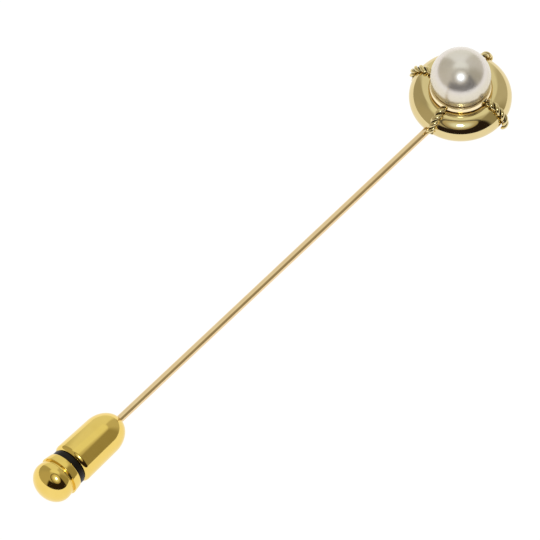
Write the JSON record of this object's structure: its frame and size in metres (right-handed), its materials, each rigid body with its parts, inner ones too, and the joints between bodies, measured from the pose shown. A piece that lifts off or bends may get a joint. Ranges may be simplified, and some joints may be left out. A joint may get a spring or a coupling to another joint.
{
  "type": "stick pin",
  "caption": "Dress pin: a round pearl in a beaded cup inside a hollow ring bound with twisted wire, on a long pointed pin with a sliding ball-lock clutch.",
  "frame": {"origin": "middle of the head's flat back, which is also the level of the surface it lies on", "axes": "+Z out of the head's back and up through the pearl; -X along the pin to its point; +Y across it"},
  "size_m": [0.0733, 0.0121, 0.0081],
  "materials": {
    "polished_gold": "polished yellow gold plate",
    "twisted_gold": "bright drawn wire",
    "pin_gold": "satin drawn wire",
    "pearl": "lustrous nacre",
    "turned_brass": "turned",
    "ball_steel": "polished steel",
    "spring_steel": "drawn spring wire",
    "black_nylon": "moulded, slight sheen"
  },
  "bodies": {
    "root": {"ring_shell": "polished_gold", "back_plate": "polished_gold", "pearl_cup": "polished_gold", "cup_hub": "polished_gold", "pearl_post": "pin_gold", "pearl": "pearl", "wrap_1_strand_a": "twisted_gold", "wrap_1_strand_b": "twisted_gold", "wrap_2_strand_a": "twisted_gold", "wrap_2_strand_b": "twisted_gold", "wrap_3_strand_a": "twisted_gold", "wrap_3_strand_b": "twisted_gold", "wrap_4_strand_a": "twisted_gold", "wrap_4_strand_b": "twisted_gold", "pin_wire": "pin_gold"},
    "spring": {"lock_spring": "spring_steel"},
    "barrel": {"clutch_body": "polished_gold", "lock_cone": "turned_brass", "rear_bush": "turned_brass"},
    "plunger": {"ball_cage": "turned_brass", "knob_collar": "polished_gold", "knob_cap": "polished_gold", "spacer_ring": "black_nylon"},
    "ball_1": {"lock_ball_1": "ball_steel"},
    "ball_2": {"lock_ball_2": "ball_steel"},
    "ball_3": {"lock_ball_3": "ball_steel"}
  },
  "joints": [
    {"name": "clutch_slide", "type": "slide", "parent": "root", "child": "spring", "axis": [-0.9997, 0, 0.026], "range_m": [-0.0025, 0.015]},
    {"name": "clutch_turn", "type": "hinge", "parent": "spring", "child": "barrel", "pos_m": [-0.05498, 0, 0.00215], "axis": [-0.9997, 0, 0.026], "continuous": true},
    {"name": "knob_pull", "type": "slide", "parent": "barrel", "child": "plunger", "axis": [-0.9997, 0, 0.026], "range_m": [0, 0.0007], "stiffness_N_per_m": 400, "springref_m": -0.001, "deforming": ["lock_spring"]},
    {"name": "ball_1_out", "type": "slide", "parent": "plunger", "child": "ball_1", "axis": [0.026, 0, 0.9997], "range_m": [0, 0.00014]},
    {"name": "ball_2_out", "type": "slide", "parent": "plunger", "child": "ball_2", "axis": [-0.013, 0.866, -0.4998], "range_m": [0, 0.00014]},
    {"name": "ball_3_out", "type": "slide", "parent": "plunger", "child": "ball_3", "axis": [-0.013, -0.866, -0.4998], "range_m": [0, 0.00014]}
  ],
  "couplings": [
    {"joint": "ball_1_out", "follows": "knob_pull", "ratio": 0.2},
    {"joint": "ball_2_out", "follows": "knob_pull", "ratio": 0.2},
    {"joint": "ball_3_out", "follows": "knob_pull", "ratio": 0.2}
  ]
}
